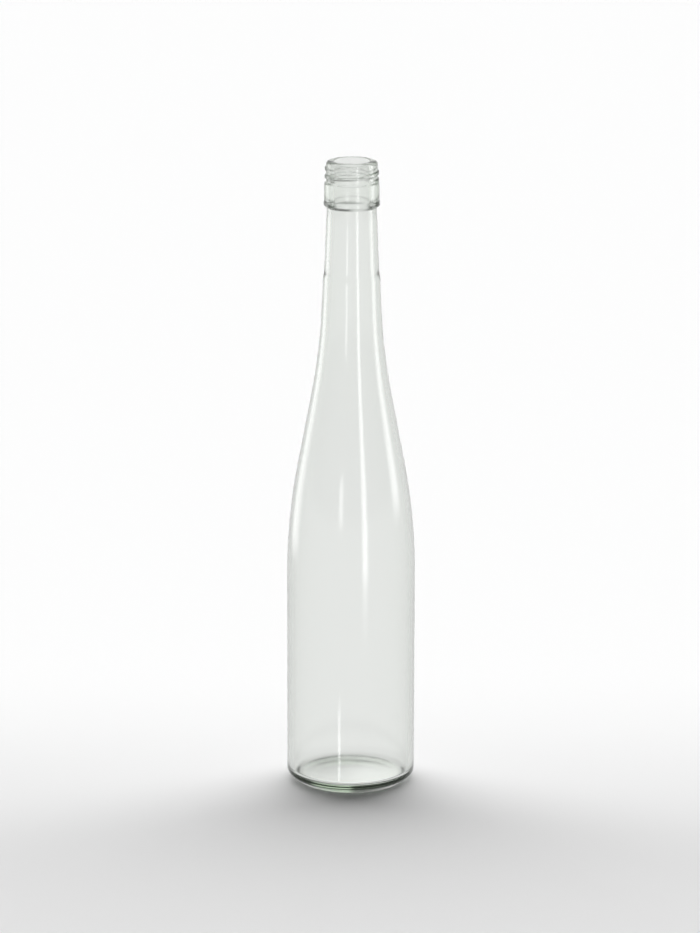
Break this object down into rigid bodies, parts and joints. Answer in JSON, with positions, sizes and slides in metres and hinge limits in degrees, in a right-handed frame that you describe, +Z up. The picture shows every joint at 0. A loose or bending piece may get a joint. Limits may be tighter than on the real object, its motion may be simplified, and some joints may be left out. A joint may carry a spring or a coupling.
{
  "type": "hock wine bottle",
  "caption": "Tall slender clear glass wine bottle with sloping shoulders, a long neck and a threaded screw finish, empty and uncapped.",
  "frame": {"origin": "centre of the foot, on the plane the bottle stands on", "axes": "+Z up the bottle's axis from the foot to the lip, -Y towards the front, +X to the right"},
  "size_m": [0.066, 0.066, 0.3262],
  "materials": {
    "bottle_glass": "clear with a faint green cast, smooth"
  },
  "bodies": {
    "root": {"bottle": "bottle_glass"}
  },
  "joints": []
}
